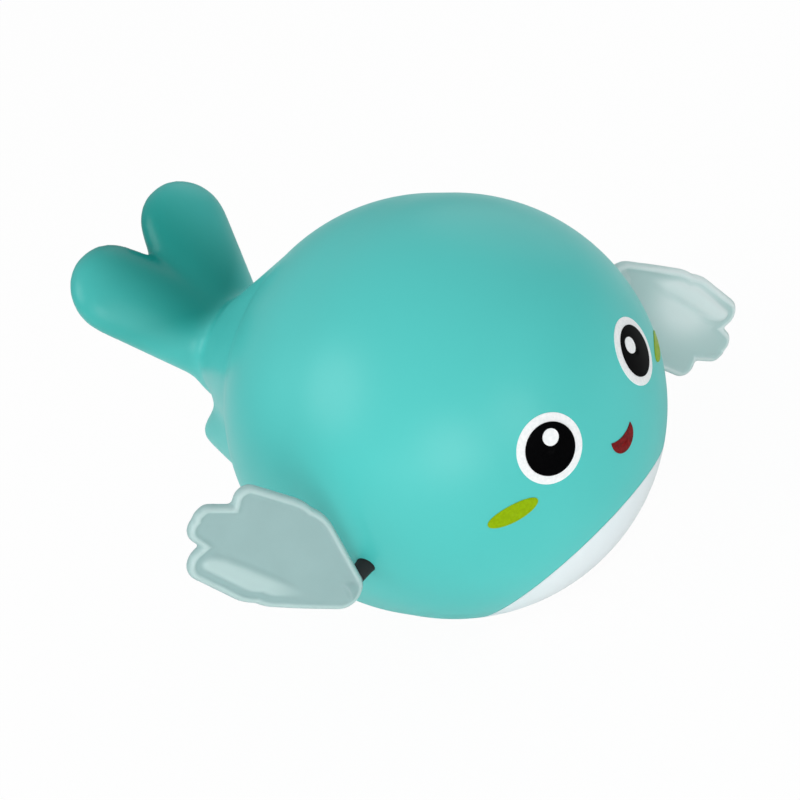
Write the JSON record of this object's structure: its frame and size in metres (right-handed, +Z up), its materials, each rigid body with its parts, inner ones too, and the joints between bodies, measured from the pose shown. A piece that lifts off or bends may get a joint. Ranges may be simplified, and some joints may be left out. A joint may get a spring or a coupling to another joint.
{
  "type": "wind-up swimming whale bath toy",
  "caption": "Round hard-plastic whale for the bath, with a heart-shaped tail and lobed flippers on one cross axle, driven by a clockwork motor inside.",
  "frame": {"origin": "middle of the flat belly, under the body's centre", "axes": "+Z up, the whale looks along -Y with its tail towards +Y, its right flipper is on -X, and the flippers' axle runs along X"},
  "size_m": [0.1338, 0.1122, 0.0797],
  "materials": {
    "teal_shell": "satin",
    "white_shell": "satin",
    "gasket": "matte",
    "screw_steel": "bright",
    "ink_white": "gloss",
    "ink_black": "gloss",
    "ink_red": "gloss",
    "ink_green": "gloss",
    "seal_rubber": "matte",
    "frosted_fin": "frosted",
    "axle_steel": "ground",
    "bush_brass": "turned",
    "case_plastic": "moulded",
    "spring_steel": "blued",
    "wheel_white": "moulded",
    "wheel_orange": "moulded",
    "wheel_blue": "moulded",
    "flywheel_brass": "turned"
  },
  "bodies": {
    "hull": {"body_shell": "teal_shell", "belly_shell": "white_shell", "belly_gasket": "gasket", "belly_screws": "screw_steel", "eye_whites": "ink_white", "eye_pupils": "ink_black", "eye_glints": "ink_white", "mouth_print": "ink_red", "cheek_prints": "ink_green", "shaft_seals": "seal_rubber", "axle_bushes": "bush_brass", "motor_case": "case_plastic", "motor_cover": "case_plastic", "case_screws": "screw_steel", "mainspring": "spring_steel"},
    "paddle": {"flipper_right": "frosted_fin", "flipper_left": "frosted_fin", "axle": "axle_steel", "axle_pinion": "wheel_orange", "axle_wheel": "wheel_orange"},
    "spring_set": {"spring_arbor": "axle_steel", "great_wheel": "wheel_white"},
    "second_set": {"second_arbor": "axle_steel", "second_gear": "wheel_blue"},
    "governor_set": {"governor_arbor": "axle_steel", "governor_pinion": "wheel_blue", "flywheel": "flywheel_brass"}
  },
  "joints": [
    {"name": "paddle_spin", "type": "hinge", "parent": "hull", "child": "paddle", "pos_m": [0, -0.0092, 0.0326], "axis": [1, 0, 0], "continuous": true},
    {"name": "spring_spin", "type": "hinge", "parent": "hull", "child": "spring_set", "pos_m": [0, 0.00107, 0.04287], "axis": [1, 0, 0], "continuous": true},
    {"name": "second_spin", "type": "hinge", "parent": "hull", "child": "second_set", "pos_m": [0, -0.01266, 0.02309], "axis": [1, 0, 0], "continuous": true},
    {"name": "governor_spin", "type": "hinge", "parent": "hull", "child": "governor_set", "pos_m": [0, -0.00319, 0.02142], "axis": [1, 0, 0], "continuous": true}
  ],
  "couplings": [
    {"joint": "spring_spin", "follows": "paddle_spin", "ratio": -0.33333},
    {"joint": "second_spin", "follows": "paddle_spin", "ratio": -3},
    {"joint": "governor_spin", "follows": "paddle_spin", "ratio": 8.4}
  ]
}
